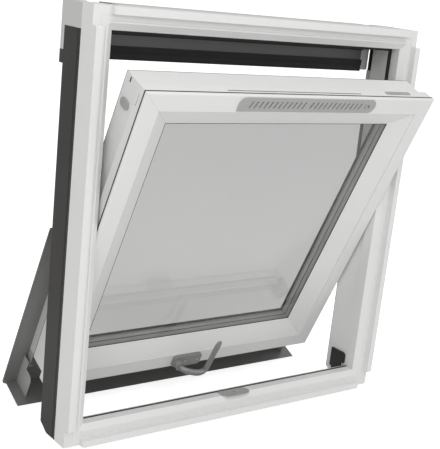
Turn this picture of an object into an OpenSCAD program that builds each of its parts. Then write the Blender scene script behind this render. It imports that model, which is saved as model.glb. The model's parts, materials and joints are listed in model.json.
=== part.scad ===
// Centre-pivot roof window with its fixed frame, seen from the room side.
// X is the width, Y runs from the room to the weather side, Z is up. The origin is in the middle of the
// sill's underside, on the room-side face of the frame corners.

/* [Overall] */
// Width of the fixed frame
frame_w = 1140; // [780:1:1340]
// Height of the fixed frame
frame_h = 1180; // [980:1:1400]
// Depth of the fixed frame, without its room-side lips
frame_depth = 142; // [138:1:146]
// Opening angle of the sash as shown
open_angle = 24.2; // [0:0.1:45]

/* [Frame] */
// Width of the frame members, measured from their outer face to the opening
member_w = 60; // [56:1:64]
// Height of the sill
sill_h = 58; // [54:1:58]
// Depth of the sill
sill_depth = 66; // [62:1:70]
// How far the room-side lips stand out
lip_stand = 20; // [8:1:30]
// Width of the room-side lips
lip_w = 20; // [12:1:22]
// Plain length at each corner, without lip or ridge
corner_len = 50; // [46:1:70]
// Wall thickness of the hollow plastic profiles
wall = 4; // [3:0.1:5]
// Thickness of the aluminium sheets
sheet = 2; // [1:0.1:2.5]

/* [Sash] */
// Gap between the sash and the frame at the sides
side_gap = 4; // [3:0.1:6]
// Gap between the sash and the sill when closed
sill_gap = 9; // [9:0.1:14]
// Air gap between the sash and the frame head when closed
head_gap = 34; // [30:1:60]
// How far the closed sash stands in front of the frame corners
sash_front = 5; // [2:0.1:8]
// Width of the flat band round the sash
band_w = 53; // [50:1:56]
// Width from the edge of the sash to the visible glass
glass_inset = 110; // [104:1:120]
// Depth of the glass behind the sash face
glass_depth = 34; // [30:0.5:36]
// Depth of the sash, with its outer cladding
sash_depth = 122; // [118:1:124]

/* [Glass] */
// Thickness of each pane
pane = 4; // [3:0.5:5]
// Width of the space between the panes
pane_space = 16; // [14:1:18]

/* [Pivot] */
// Height of the pivot above the middle of the frame
pivot_rise = 70; // [50:1:90]
// Distance of the pivot from the room-side face of the frame corners
pivot_y = 130; // [126:1:132]
// Radius of the pivot pins
pin_r = 6; // [5:0.1:7]
// Running clearance round pins, bolts and spindles
fit_gap = 0.05; // [0.02:0.01:0.1]

/* [Air inlet] */
// Length of the grille
grille_len = 488; // [440:1:500]
// Height of the grille
grille_h = 42; // [36:1:46]
// Distance of the grille from the middle of the sash
grille_offset = 24; // [0:1:40]
// Number of slots in each half of the grille
grille_slots = 12; // [6:1:12]
// Distance between the slots
slot_pitch = 16.4; // [15:0.1:17]

/* [Handle and locks] */
// Width of the handle's base plate
base_w = 104; // [90:1:120]
// Stand-off of the handle bar from the sash
handle_stand = 70; // [55:1:72]
// Radius of the lock bolt
bolt_r = 5; // [4:0.1:6]
// Radius of the cleaning latch bolt
latch_r = 5; // [4:0.1:5.5]

/* [Outer covers] */
// Distance of the lower covers' inner face from the sash face
cover_level = 149; // [148:0.5:152]
// Outer half width of the lower covers
cover_half = 553; // [545:1:560]
// How far the lower covers reach below the sash
cover_drop = 127; // [122:1:142]
// Half width of the weather flap
flap_half = 541; // [530:1:548]

/* [Hidden] */
$fn = 48;

white = [0.93, 0.93, 0.92];
pale = [0.78, 0.78, 0.77];
grey = [0.55, 0.55, 0.55];
dark = [0.22, 0.21, 0.21];
black = [0.07, 0.07, 0.07];
metal = [0.6, 0.61, 0.62];
clear = [0.75, 0.82, 0.8, 0.4];

half_w = frame_w / 2;
nip = 0.01;

// Depth range that every cutter passes through, and how far cutters stand proud
all_near = -60;
all_far = 220;
proud = 1;

// Frame depths
slope_y = 10;
ridge_from = 36;
ridge_to = 44;
ridge_stand = 2.5;
lip_bevel = 4;
line_at = [24, 25.2];
line_depth = 0.8;
step_y = 46;
recess = 4;
sill_fall = 8;
side_y = 55;
body_y = frame_depth - sheet;
jamb_in = member_w - recess;
cap_y = frame_depth + 18;
cap_z = frame_h - 64;
foot_chamfer = 38;
foot_rise = 22;
gasket_from = 36.5;
gasket_to = 43;
groove = 2.5;

// Chambers of the frame profiles, as distance in from the outer face and depth
skin = wall + 2;
room_chamber = [skin, slope_y + wall, member_w - 2 * wall, step_y - wall];
rear_chamber = [skin, side_y + wall + 1, jamb_in - wall, body_y - wall];
sill_chamber = [skin, slope_y + wall, sill_h - skin, step_y - wall];

// Stops in the upper half of the jambs
stop_above = 40;
stop_in = 68;
stop_sheet = 3;
stop_rear = 112;
gasket_y = 41.5;

// Sash, in its own closed frame: X, depth behind its face, height above its centre
sash_half = half_w - member_w - side_gap;
sash_top = frame_h - member_w - head_gap;
sash_bottom = sill_h + sill_gap;
mid_z = frame_h / 2 - 15;
pivot_z = frame_h / 2 + pivot_rise;
v_top = sash_top - mid_z;
v_bottom = sash_bottom - mid_z;
cover_low = cover_drop - v_bottom;
leaf_t = 8;
gasket_t = 5;
front_in = 2;
front_depth = 44;
rear_in = 12;
rear_depth = 81;
rebate_in = 88;
glass_edge = rebate_in + 4;
seal_t = 1.5;
rebate_depth = glass_depth + seal_t + 2 * pane + pane_space + seal_t;
pane_inner = glass_depth + seal_t;
pane_outer = pane_inner + pane + pane_space;
ridge_drop = 2.7;
cladding_lip = glass_inset + 6;

// Pivot, in the sash's own frame
pivot_v = pivot_z - mid_z;
pivot_w = pivot_y + sash_front;
arm_t = 4.5;
arm_from = sash_half - rear_in;
collar_r = 14;
plate_t = 5;

// Handle, lock bolt and cleaning latch, in the sash's own frame
hub_u = -57;
hub_v = v_bottom + 30;
spindle_r = 6;
spindle_deep = 22;
bolt_u = 16;
bolt_w = 20;
striker_t = 2.7;
striker_top = sill_h + 1.2;
case_gap = 0.3;
latch_v = v_top - 87;
latch_w = 86;
turned = 160;
keeper_deep = 12;
keeper_r = latch_r + 1;
latch_long = 7;
latch_wide = 13;
latch_bolt_w = latch_w + latch_long;
guide_r = latch_r + 3;
guide_gap = 0.2;
latch_rel_y = latch_bolt_w - pivot_w;
latch_rel_z = latch_v - pivot_v;
keeper_y = pivot_y + latch_rel_y * cos(turned) - latch_rel_z * sin(turned);
keeper_z = pivot_z + latch_rel_z * cos(turned) + latch_rel_y * sin(turned);

// Air inlet
grille_t = 3.5;
grille_low = v_top - 48;
pocket_end = 12;
pocket_edge = 5;
slider_t = 1.8;
slider_gap = 0.2;
slider_travel = 8;
knob_r = 4.5;
knob_u = grille_offset + grille_len / 2 - 36;
slot_first = 39;
slot_break = 28;
slot_rise = 10;

// ---- helpers ----

// Puts a section given as (in from the edge, depth) upright, from one height to another
module upright(low, high) {
    translate([0, 0, low]) linear_extrude(high - low) children();
}

// Puts the same section along X, its first axis upwards
module level(from, to) {
    translate([from, 0, 0]) rotate([90, 0, 90]) linear_extrude(to - from) mirror([1, -1, 0]) children();
}

// Extrudes a face drawn in X and Z through a range of depths
module face(near, far) {
    translate([0, far, 0]) rotate([90, 0, 0]) linear_extrude(far - near) children();
}

// A rectangle from corner to corner
module rect(x0, y0, x1, y1) {
    translate([x0, y0]) square([x1 - x0, y1 - y0]);
}

// A box from corner to corner
module block(x0, y0, z0, x1, y1, z1) {
    translate([x0, y0, z0]) cube([x1 - x0, y1 - y0, z1 - z0]);
}

// A rod along X, Y or Z
module rod_x(from, to, y, z, r) {
    translate([from, y, z]) rotate([0, 90, 0]) cylinder(h = to - from, r = r);
}

module rod_y(from, to, x, z, r) {
    translate([x, from, z]) rotate([-90, 0, 0]) cylinder(h = to - from, r = r);
}

module rod_z(from, to, x, y, r) {
    translate([x, y, from]) cylinder(h = to - from, r = r);
}

// The four bars of a mitred ring. The section is (in from the edge, depth).
module bar_left(half, low, high, reach) {
    intersection() {
        translate([-half, 0, 0]) upright(low, high) children();
        face(all_near, all_far) polygon([[-half - 1, low - 1], [-half + reach, low + reach],
            [-half + reach, high - reach], [-half - 1, high + 1]]);
    }
}

module bar_right(half, low, high, reach) {
    mirror([1, 0, 0]) bar_left(half, low, high, reach) children();
}

module bar_bottom(half, low, reach) {
    intersection() {
        translate([0, 0, low]) level(-half, half) children();
        face(all_near, all_far) polygon([[-half - 1, low - 1], [half + 1, low - 1],
            [half - reach, low + reach], [-half + reach, low + reach]]);
    }
}

module bar_top(half, high, reach) {
    translate([0, 0, high]) mirror([0, 0, 1]) bar_bottom(half, 0, reach) children();
}

module ring(half, low, high, reach) {
    bar_left(half, low, high, reach) children();
    bar_right(half, low, high, reach) children();
    bar_bottom(half, low, reach) children();
    bar_top(half, high, reach) children();
}

// A rectangular ring, square in section
module square_ring(half, low, high, inset, reach, near, far) {
    difference() {
        block(-half + inset, near, low + inset, half - inset, far, high - inset);
        block(-half + reach, near - 1, low + reach, half - reach, far + 1, high - reach);
    }
}

// Turns what is modelled closed, in the sash's own frame, to the open position
module in_sash() {
    translate([0, pivot_y, pivot_z]) rotate([open_angle, 0, 0])
        translate([0, -sash_front - pivot_y, mid_z - pivot_z]) children();
}

module on_right() {
    mirror([1, 0, 0]) children();
}

// ---- fixed frame ----

// Section of head and jambs: slanted face, ridge left out, recess behind the opening's front edge
module member_section() {
    difference() {
        polygon([[0, 0], [line_at[0], 0], [line_at[0], line_depth], [line_at[1], line_depth],
            [line_at[1], 0], [ridge_to, 0], [member_w, slope_y], [member_w, step_y], [jamb_in, step_y],
            [jamb_in, body_y], [sheet, body_y], [sheet, side_y], [0, side_y]]);
        rect(room_chamber[0], room_chamber[1], room_chamber[2], room_chamber[3]);
        rect(rear_chamber[0], rear_chamber[1], rear_chamber[2], rear_chamber[3]);
    }
}

// Fills the jamb's rear chamber at its foot
module foot_plug() {
    linear_extrude(foot_rise + wall) rect(rear_chamber[0] - nip, rear_chamber[1] - nip,
        rear_chamber[2] + nip, rear_chamber[3] + nip);
}

// Bevel at the jamb's foot, on the weather side
module foot_bevel() {
    rotate([90, 0, 90]) translate([0, 0, -half_w - proud]) linear_extrude(member_w + 2 * proud)
        polygon([[frame_depth - foot_chamfer, -proud], [frame_depth + proud, -proud],
            [frame_depth + proud, foot_rise], [frame_depth, foot_rise], [frame_depth - foot_chamfer, 0]]);
}

// Section of the sill, which falls away behind its gasket
module sill_section() {
    difference() {
        polygon([[0, 0], [line_at[0], 0], [line_at[0], line_depth], [line_at[1], line_depth],
            [line_at[1], 0], [ridge_to, 0], [sill_h, slope_y - 1], [sill_h, gasket_to + 1],
            [sill_h - sill_fall, sill_depth - sheet], [sheet, sill_depth - sheet], [sheet, side_y],
            [0, side_y]]);
        rect(sill_chamber[0], sill_chamber[1], sill_chamber[2], sill_chamber[3]);
    }
}

// Section of the low ridge beside the opening
module ridge_section() {
    side = 1.5;
    polygon([[ridge_from, 1], [ridge_from, 0], [ridge_from + side, -ridge_stand],
        [ridge_to - side, -ridge_stand], [ridge_to, 0], [ridge_to, 1]]);
}

// Lip with bevelled ends and low ridge, drawn on the left side
module lip_and_ridge() {
    low = corner_len;
    high = frame_h - corner_len;
    translate([-half_w, 0, 0]) rotate([90, 0, 90]) linear_extrude(lip_w)
        polygon([[1, low], [-lip_stand + lip_bevel, low], [-lip_stand, low + lip_bevel],
            [-lip_stand, high - lip_bevel], [-lip_stand + lip_bevel, high], [1, high]]);
    translate([-half_w, 0, 0]) upright(low, high) ridge_section();
}

module mitre_cutter(reach) {
    face(all_near, all_far) polygon([[-half_w - 2, -2], [-half_w + reach, reach], [-half_w + reach, -2]]);
}

module jamb_left() {
    difference() {
        union() {
            translate([-half_w, 0, 0]) upright(0, frame_h) member_section();
            translate([-half_w, 0, 0]) foot_plug();
            lip_and_ridge();
        }
        translate([0, 0, frame_h]) mirror([0, 0, 1]) mitre_cutter(member_w + 2);
        intersection() {
            mitre_cutter(member_w + 2);
            block(-half_w - 1, -60, -1, -half_w + member_w + 2, sill_depth, member_w + 2);
        }
        foot_bevel();
    }
}

module frame_jamb_left() {
    color(white) difference() {
        jamb_left();
        // Sockets for the cleaning bolt, with the sash turned over and closed
        rod_x(-half_w + jamb_in - keeper_deep, -half_w + jamb_in + proud, keeper_y, keeper_z, keeper_r);
        rod_x(-half_w + jamb_in - keeper_deep, -half_w + jamb_in + proud, latch_bolt_w - sash_front,
            mid_z + latch_v, keeper_r);
        hinge_screw_holes();
    }
}

module frame_jamb_right() {
    color(white) on_right() difference() {
        jamb_left();
        hinge_screw_holes();
    }
}

// Head and sill carry the bracket holes for mounting in the roof
bracket_x = half_w - 150;
bracket_y = 30;
bracket_r = 2.5;

module frame_head() {
    color(white) difference() {
        union() {
            bar_top(half_w, frame_h, member_w + 2) member_section();
            translate([0, 0, frame_h]) mirror([0, 0, 1]) sill_lips();
        }
        for (x = [-bracket_x, bracket_x])
            rod_z(frame_h - skin - proud, frame_h + proud, x, bracket_y, bracket_r);
    }
}

// Lip and ridge along the sill or, mirrored, the head
module sill_lips() {
    end_x = half_w - corner_len;
    linear_extrude(lip_w)
        polygon([[-end_x, 1], [-end_x, -lip_stand + lip_bevel], [-end_x + lip_bevel, -lip_stand],
            [end_x - lip_bevel, -lip_stand], [end_x, -lip_stand + lip_bevel], [end_x, 1]]);
    level(-end_x, end_x) ridge_section();
}

// The striker's outline seen from above, with one round end
striker_near = -6;
striker_far = 36;
striker_left = -36;
striker_right = 69;

module striker_outline(grow) {
    reach = (striker_far - striker_near) / 2;
    difference() {
        union() {
            translate([striker_right - reach, (striker_near + striker_far) / 2]) circle(r = reach + grow);
            rect(striker_left - grow, striker_near - grow, striker_right - reach, striker_far + grow);
        }
        polygon([[striker_left - 1, striker_near - 1], [striker_left + 18, striker_near - 1],
            [striker_left - 1, striker_near + 16]]);
    }
}

bolt_y = bolt_w - sash_front;

module frame_sill() {
    color(white) difference() {
        union() {
            bar_bottom(half_w, 0, member_w + 2) sill_section();
            sill_lips();
        }
        translate([0, 0, striker_top - striker_t]) linear_extrude(striker_t + 1) striker_outline(0);
        rod_z(sill_chamber[2] - 1, sill_h + 1, bolt_u, bolt_y, bolt_r + 1.5);
        for (x = striker_screw_x) rod_z(sill_chamber[2] - 1, sill_h + 1, x, bolt_y, screw_r);
        block(-half_w, gasket_from, sill_h - groove, half_w, gasket_to, sill_h + 1);
        for (x = [-bracket_x, bracket_x]) rod_z(-proud, skin + proud, x, bracket_y, bracket_r);
    }
}

module sill_gasket() {
    reach = half_w - member_w - 0.5;
    color(black) block(-reach, gasket_from, sill_h - groove, reach, gasket_to, sill_h + 0.7);
}

// Seal under the front edge of the head, between the stop gaskets
module head_gasket() {
    reach = half_w - member_w - 0.5;
    color(black) difference() {
        block(-reach, 36, frame_h - member_w - 9, reach, 45, frame_h - member_w);
        for (s = [-1, 1]) translate([s * reach, 0, 0])
            block(-stop_in + member_w - 4, 30, 0, stop_in - member_w + 4, 60, frame_h);
    }
}

// Steel tubes in the jambs' room-side chambers
module steel_left() {
    slack = 0.2;
    tube_wall = 2;
    ends = member_w + 10;
    translate([-half_w, 0, 0]) upright(ends, frame_h - ends) difference() {
        rect(room_chamber[0] + slack, room_chamber[1] + slack, room_chamber[2] - slack,
            room_chamber[3] - slack);
        rect(room_chamber[0] + slack + tube_wall, room_chamber[1] + slack + tube_wall,
            room_chamber[2] - slack - tube_wall, room_chamber[3] - slack - tube_wall);
    }
}

module jamb_steel_left() {
    color(metal) steel_left();
}

module jamb_steel_right() {
    color(metal) on_right() steel_left();
}

// Stop strips: an angle on the recess of the jambs, above the pivot
module strip_left() {
    translate([-half_w, 0, 0]) upright(pivot_z + stop_above, frame_h - member_w) union() {
        rect(jamb_in, step_y, stop_in + stop_sheet, step_y + stop_sheet);
        rect(stop_in, step_y, stop_in + stop_sheet, stop_rear);
        rect(jamb_in, stop_rear - stop_sheet, stop_in + 1, stop_rear);
    }
}

module stop_strip_left() {
    color(pale) difference() {
        strip_left();
        rod_x(-half_w + stop_in - proud, -half_w + stop_in + stop_sheet + proud, latch_bolt_w - sash_front,
            mid_z + latch_v, keeper_r);
    }
}

module stop_strip_right() {
    color(pale) on_right() strip_left();
}

// Black seals on the stop strips: one facing the sash, one along the strip's rear edge
module strip_gasket_left() {
    translate([-half_w, 0, 0]) upright(pivot_z + stop_above, frame_h - member_w)
        rect(member_w, gasket_y, stop_in + stop_sheet, step_y);
    translate([-half_w, 0, 0]) upright(pivot_z + stop_above + 60, frame_h - member_w)
        rect(jamb_in, stop_rear + 8, stop_in, stop_rear + 16);
}

module stop_gasket_left() {
    color(black) strip_gasket_left();
}

module stop_gasket_right() {
    color(black) on_right() strip_gasket_left();
}

// Aluminium angle over the weather side of the jambs, with a shallow groove along it
module cladding_left() {
    difference() {
        translate([-half_w, 0, 0]) upright(0, cap_z) polygon([[0, side_y], [0, 64], [0.8, 64.5],
            [0.8, 70.5], [0, 71], [0, frame_depth], [jamb_in, frame_depth], [jamb_in, body_y],
            [sheet, body_y], [sheet, side_y]]);
        foot_bevel();
        // Notches for the mounting brackets
        for (z = [62, frame_h - 160]) block(-half_w - 1, side_y - 1, z, -half_w + sheet + 1, 60, z + 46);
    }
}

module side_cladding_left() {
    color(dark) cladding_left();
}

module side_cladding_right() {
    color(dark) on_right() cladding_left();
}

// Caps over the upper corners: side plate, outer block, edge strip and the end of the hood
hood_end = half_w - 104;
hood_low = frame_h - 144;

module cap_left() {
    inner = half_w - member_w;
    difference() {
        translate([-half_w, 0, 0]) upright(cap_z, frame_h) polygon([[0, side_y], [0, cap_y],
            [member_w, cap_y], [member_w, body_y], [sheet, body_y], [sheet, side_y]]);
        block(-half_w - 1, cap_y - 12.8, cap_z - 1, -half_w + 0.6, cap_y - 12, frame_h + 1);
    }
    block(-half_w, cap_y - 4, cap_z - 61, -half_w + 4, cap_y, cap_z + 1);
    block(-half_w, frame_depth, cap_z - 61, -half_w + 1.5, cap_y, cap_z + 1);
    difference() {
        block(-inner - nip, body_y - 6, hood_low + 4, -hood_end, cap_y - 2, frame_h - member_w);
        block(-inner - 1, body_y - 7, hood_low, -inner + 12, body_y + 2, frame_h);
    }
}

module cladding_cap_left() {
    color(pale) cap_left();
}

module cladding_cap_right() {
    color(pale) on_right() cap_left();
}

// Small black clips under the caps' edge strips
module cladding_clips() {
    color(black) for (s = [0, 1]) mirror([s, 0, 0])
        block(-half_w, frame_depth, cap_z - 96, -half_w + 10, cap_y + 2, cap_z - 61);
}

// Hood over the head: top leg, hollow weather nose and the inner skirt seen from the room
hood_skirt = body_y - 10;
hood_step = hood_skirt - 2 * sheet;
hood_drop = frame_h - hood_low;
hood_lip = hood_drop - 18;
hood_gap = 0.3;

// Places a section along the head, its first axis pointing down from the top
module along_head() {
    translate([0, 0, frame_h]) mirror([0, 0, 1]) level(-hood_end + hood_gap, hood_end - hood_gap) children();
}

module head_hood() {
    color(dark) along_head() union() {
        rect(0, side_y, sheet, cap_y);
        rect(0, cap_y - sheet, hood_drop, cap_y);
        rect(hood_drop - sheet, hood_step, hood_drop, cap_y);
        rect(hood_lip, hood_step, hood_drop, hood_step + sheet);
        rect(hood_lip, hood_step, hood_lip + sheet, hood_skirt + sheet);
        rect(member_w, hood_skirt, hood_lip + sheet, hood_skirt + sheet);
    }
}

// Black seals on the room face of the hood's skirt
module hood_seal() {
    stand = 6;
    color(black) along_head() {
        rect(member_w, hood_skirt - stand, member_w + 19, hood_skirt);
        rect(hood_lip - 18, hood_skirt - stand, hood_lip, hood_skirt);
    }
}

// Aluminium angle round the sill's weather side and underside
module sill_cladding() {
    reach = half_w - member_w;
    color(dark) level(-reach, reach) union() {
        rect(0, side_y, sheet, sill_depth);
        rect(0, sill_depth - sheet, sill_h - sill_fall - 2, sill_depth);
    }
}

// Black corner blocks at the foot of the jambs
corner_block_t = 7;
corner_block_near = 54;
corner_block_far = 119;
corner_block_high = 99;

module block_left() {
    r = 12;
    low = 20;
    notch = [9, 14];
    translate([-half_w + jamb_in, 0, 0]) rotate([90, 0, 90]) linear_extrude(corner_block_t) difference() {
        union() {
            rect(sill_depth + 2, low, corner_block_far, corner_block_high);
            rect(corner_block_near, sill_h + 4, corner_block_far, corner_block_high - r);
            translate([corner_block_near + r, corner_block_high - r]) circle(r = r);
            rect(corner_block_near + r, corner_block_high - r, sill_depth + 2 + r, corner_block_high);
        }
        rect(corner_block_far - notch[0], low - proud, corner_block_far + proud, low + notch[1]);
    }
}

module corner_block_left() {
    color(black) block_left();
}

module corner_block_right() {
    color(black) on_right() block_left();
}

// Striker let into the sill, with the hole for the lock bolt and countersunk screw holes
striker_screw_x = [-18, 48];
screw_r = 2;

module striker_plate() {
    color(grey) difference() {
        translate([0, 0, striker_top - striker_t]) linear_extrude(striker_t) striker_outline(0);
        rod_z(striker_top - striker_t - proud, striker_top + proud, bolt_u, bolt_y, bolt_r + 1);
        for (x = striker_screw_x) {
            rod_z(striker_top - striker_t - proud, striker_top + proud, x, bolt_y, screw_r + fit_gap);
            rod_z(striker_top - head_t, striker_top + proud, x, bolt_y, head_r);
        }
    }
}

// Hinge plates on the jambs, with the pin's bore
plate_half = stop_above - 2;
hinge_screw_z = [pivot_z - plate_half + 9, pivot_z + plate_half - 9];
hinge_screw_y = body_y - 20;
head_r = 4;
head_t = 1.5;

module hinge_screw_holes() {
    seat = -half_w + jamb_in;
    for (z = hinge_screw_z)
        rod_x(seat - wall - proud, seat + proud, hinge_screw_y, z, screw_r);
    rod_x(seat - wall - proud, seat + proud, pivot_y, pivot_z, pin_r + fit_gap);
}

module plate_left() {
    seat = -half_w + jamb_in;
    difference() {
        block(seat, 100, pivot_z - plate_half, seat + plate_t, body_y + 1, pivot_z + plate_half);
        rod_x(seat - proud, seat + plate_t + proud, pivot_y, pivot_z, pin_r + fit_gap);
        for (z = hinge_screw_z) {
            rod_x(seat - proud, seat + plate_t + proud, hinge_screw_y, z, screw_r + fit_gap);
            rod_x(seat + plate_t - head_t, seat + plate_t + proud, hinge_screw_y, z, head_r);
        }
    }
}

module hinge_plate_left() {
    color(metal) plate_left();
}

module hinge_plate_right() {
    color(metal) on_right() plate_left();
}

// Turned pivot pins, with a collar that spaces the sash from the hinge plate
module pin_left() {
    rod_x(-half_w + jamb_in - wall + 0.5, -arm_from - 0.2, pivot_y, pivot_z, pin_r);
    rod_x(-half_w + jamb_in + plate_t, -arm_from - arm_t - 0.2, pivot_y, pivot_z, collar_r);
}

module hinge_pin_left() {
    color(metal) pin_left();
}

module hinge_pin_right() {
    color(metal) on_right() pin_left();
}

// Countersunk screws of the striker and hinge plates
module frame_screws() {
    seat = -half_w + jamb_in;
    shank_r = screw_r - 0.02;
    color(metal) {
        for (x = striker_screw_x) {
            rod_z(sill_h - skin - 1, striker_top - 0.6, x, bolt_y, shank_r);
            rod_z(striker_top - head_t, striker_top - 0.3, x, bolt_y, head_r - 0.1);
        }
        for (s = [0, 1]) mirror([s, 0, 0]) for (z = hinge_screw_z) {
            rod_x(seat - wall, seat + plate_t, hinge_screw_y, z, shank_r);
            rod_x(seat + plate_t - head_t, seat + plate_t, hinge_screw_y, z, head_r - 0.1);
        }
    }
}

// ---- sash ----

// Section of rails and stiles, as (in from the edge, depth behind the face), with its glass rebate and
// the outer leg that carries the cladding
module sash_section() {
    round_r = 6;
    difference() {
        union() {
            intersection() {
                translate([round_r, round_r]) circle(r = round_r);
                rect(0, 0, round_r + 1, round_r + 1);
            }
            rect(round_r, 0, band_w, leaf_t);
            rect(0, round_r, band_w, leaf_t);
            rect(leaf_t, leaf_t - 1, band_w, front_depth);
            rect(front_in, leaf_t + gasket_t, band_w, front_depth);
            rect(rear_in, glass_depth + seal_t - 1, rebate_in, rear_depth);
            rect(rear_in, rebate_depth, glass_inset - 2, rear_depth);
            rect(rear_in, rear_depth - 1, rear_in + wall, sash_depth - sheet);
        }
        rect(rear_in + 2, leaf_t, band_w - wall - 1, front_depth - wall - 4);
        rect(rear_in + wall, front_depth, rebate_in - wall, rear_depth - wall);
    }
}

module sash_top_rail() {
    color(white) in_sash() difference() {
        bar_top(sash_half, v_top, cladding_lip) sash_section();
        // Pocket behind the grille, then the long slot and the lock's recess in the upper face
        block(grille_offset - grille_len / 2 + pocket_end, -proud, grille_low + pocket_edge,
            grille_offset + grille_len / 2 - pocket_end, slider_t + 2 * slider_gap,
            grille_low + grille_h - pocket_edge);
        block(-sash_half + 255, 22, v_top - front_in - 1.5, sash_half - 286, 26, v_top + proud);
        block(sash_half - 183, 24, v_top - front_in - 1, sash_half - 80, 40, v_top + proud);
    }
}

module sash_bottom_rail() {
    color(white) in_sash() difference() {
        bar_bottom(sash_half, v_bottom, cladding_lip) sash_section();
        rod_y(-1, leaf_t + 1, hub_u, hub_v, spindle_r + fit_gap);
        rod_z(v_bottom - 1, v_bottom + rear_in + 3, bolt_u, bolt_w, bolt_r + fit_gap);
    }
}

module sash_stile_left() {
    color(white) in_sash() difference() {
        bar_left(sash_half, v_bottom, v_top, cladding_lip) sash_section();
        rod_x(-arm_from - proud, -arm_from + wall + proud, latch_bolt_w, latch_v, guide_r + guide_gap);
    }
}

module sash_stile_right() {
    color(white) in_sash() bar_right(sash_half, v_bottom, v_top, cladding_lip) sash_section();
}

// Bevelled glazing beads
module bead_section() {
    tip = glass_depth;
    polygon([[band_w, ridge_drop], [glass_inset - 1, tip - 1], [glass_inset, tip],
        [band_w, tip]]);
}

module glazing_bead_top() {
    color(white) in_sash() bar_top(sash_half, v_top, glass_inset + 1) bead_section();
}

module glazing_bead_bottom() {
    color(white) in_sash() bar_bottom(sash_half, v_bottom, glass_inset + 1) bead_section();
}

module glazing_bead_left() {
    color(white) in_sash() bar_left(sash_half, v_bottom, v_top, glass_inset + 1) bead_section();
}

module glazing_bead_right() {
    color(white) in_sash() bar_right(sash_half, v_bottom, v_top, glass_inset + 1) bead_section();
}

module sash_gasket() {
    color(black) in_sash()
        square_ring(sash_half, v_bottom, v_top, 0.6, leaf_t, leaf_t, leaf_t + gasket_t);
}

module glazing_gasket_inner() {
    color(black) in_sash()
        square_ring(sash_half, v_bottom, v_top, rebate_in + 6, glass_inset + 1.5, glass_depth, pane_inner);
}

module glazing_gasket_outer() {
    color(black) in_sash() square_ring(sash_half, v_bottom, v_top, rebate_in + 6, glass_inset - 2,
        pane_outer + pane, rebate_depth);
}

module glass_sheet(near) {
    block(-sash_half + glass_edge, near, v_bottom + glass_edge, sash_half - glass_edge, near + pane,
        v_top - glass_edge);
}

module inner_pane() {
    color(clear) in_sash() glass_sheet(pane_inner);
}

module outer_pane() {
    color(clear) in_sash() glass_sheet(pane_outer);
}

// Spacer that holds the panes apart
module spacer_bar() {
    color(grey) in_sash() square_ring(sash_half, v_bottom, v_top, glass_edge + 3, glass_inset - 1,
        pane_inner + pane, pane_outer);
}

// Bent outer cladding round the glass, which caps the sash profile's outer leg
module cladding_section() {
    slope_from = 28;
    foot = rear_in + wall + 4;
    polygon([[rear_in, sash_depth - sheet], [rear_in, sash_depth], [slope_from, sash_depth],
        [cladding_lip, rear_depth + sheet], [cladding_lip, rear_depth], [foot, rear_depth],
        [foot, rear_depth + sheet], [cladding_lip - 8, rear_depth + sheet],
        [slope_from - 1, sash_depth - sheet]]);
}

module sash_cladding() {
    color(dark) in_sash() ring(sash_half, v_bottom, v_top, cladding_lip + 1) cladding_section();
}

// Hinge arms: plates screwed to the stiles that carry the pivot bores
module arm_left() {
    low = pivot_v - 45;
    high = pivot_v + 45;
    shoulder = rear_depth + 20;
    eye_r = 20;
    difference() {
        translate([-arm_from - arm_t, 0, 0]) rotate([90, 0, 90]) linear_extrude(arm_t) union() {
            rect(front_depth + 8, low, shoulder, high);
            polygon([[shoulder - nip, low], [pivot_w, pivot_v - eye_r], [pivot_w, pivot_v + eye_r],
                [shoulder - nip, high]]);
            translate([pivot_w, pivot_v]) circle(r = eye_r);
        }
        rod_x(-arm_from - arm_t - proud, -arm_from + proud, pivot_w, pivot_v, pin_r + fit_gap);
    }
}

module hinge_arm_left() {
    color(metal) in_sash() arm_left();
}

module hinge_arm_right() {
    color(metal) in_sash() on_right() arm_left();
}

// Plastic carriers between the sash cladding and the lower covers
carrier_high = pivot_v - 109;
carrier_in = 16;

module carrier_left() {
    difference() {
        block(-arm_from, sash_depth, v_bottom + rear_in + 6, -arm_from + carrier_in, cover_level,
            carrier_high);
        block(-arm_from + 3, sash_depth + 3, v_bottom, -arm_from + carrier_in - 3, cover_level - 3,
            carrier_high + 1);
    }
}

module cover_carrier_left() {
    color(pale) in_sash() carrier_left();
}

module cover_carrier_right() {
    color(pale) in_sash() on_right() carrier_left();
}

// Aluminium covers over the lower half of the frame's sides
module cover_left() {
    corner = 18;
    inner = arm_from - carrier_in;
    high = carrier_high + 4;
    edge = 1.5;
    face(cover_level, cover_level + sheet) union() {
        rect(-cover_half, -cover_low + corner, -inner, high);
        rect(-cover_half + corner, -cover_low, -inner, carrier_high);
        translate([-cover_half + corner, -cover_low + corner]) circle(r = corner);
    }
    block(-cover_half, cover_level - edge, -cover_low + corner, -cover_half + sheet, cover_level + nip, high);
}

module lower_cover_left() {
    color(dark) in_sash() cover_left();
}

module lower_cover_right() {
    color(dark) in_sash() on_right() cover_left();
}

// Bottom cover: seat on the sash cladding, riser, plate between the side covers and weather flap
flap_near = 50;
seat_w = 14;

module bottom_cover() {
    inner = arm_from - carrier_in - 0.5;
    low = cover_low - 8;
    seat = v_bottom + rear_in;
    color(dark) in_sash() union() {
        block(-inner, sash_depth, seat - sheet, inner, sash_depth + sheet, seat + seat_w);
        block(-inner, sash_depth, seat - sheet, inner, cover_level + sheet, seat);
        block(-inner, cover_level, -low - sheet, inner, cover_level + sheet, seat);
        block(-inner, cover_level - 2, -low - sheet, inner, cover_level + sheet, -low);
        block(-flap_half, flap_near, -low - sheet, flap_half, cover_level, -low);
    }
}

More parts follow.
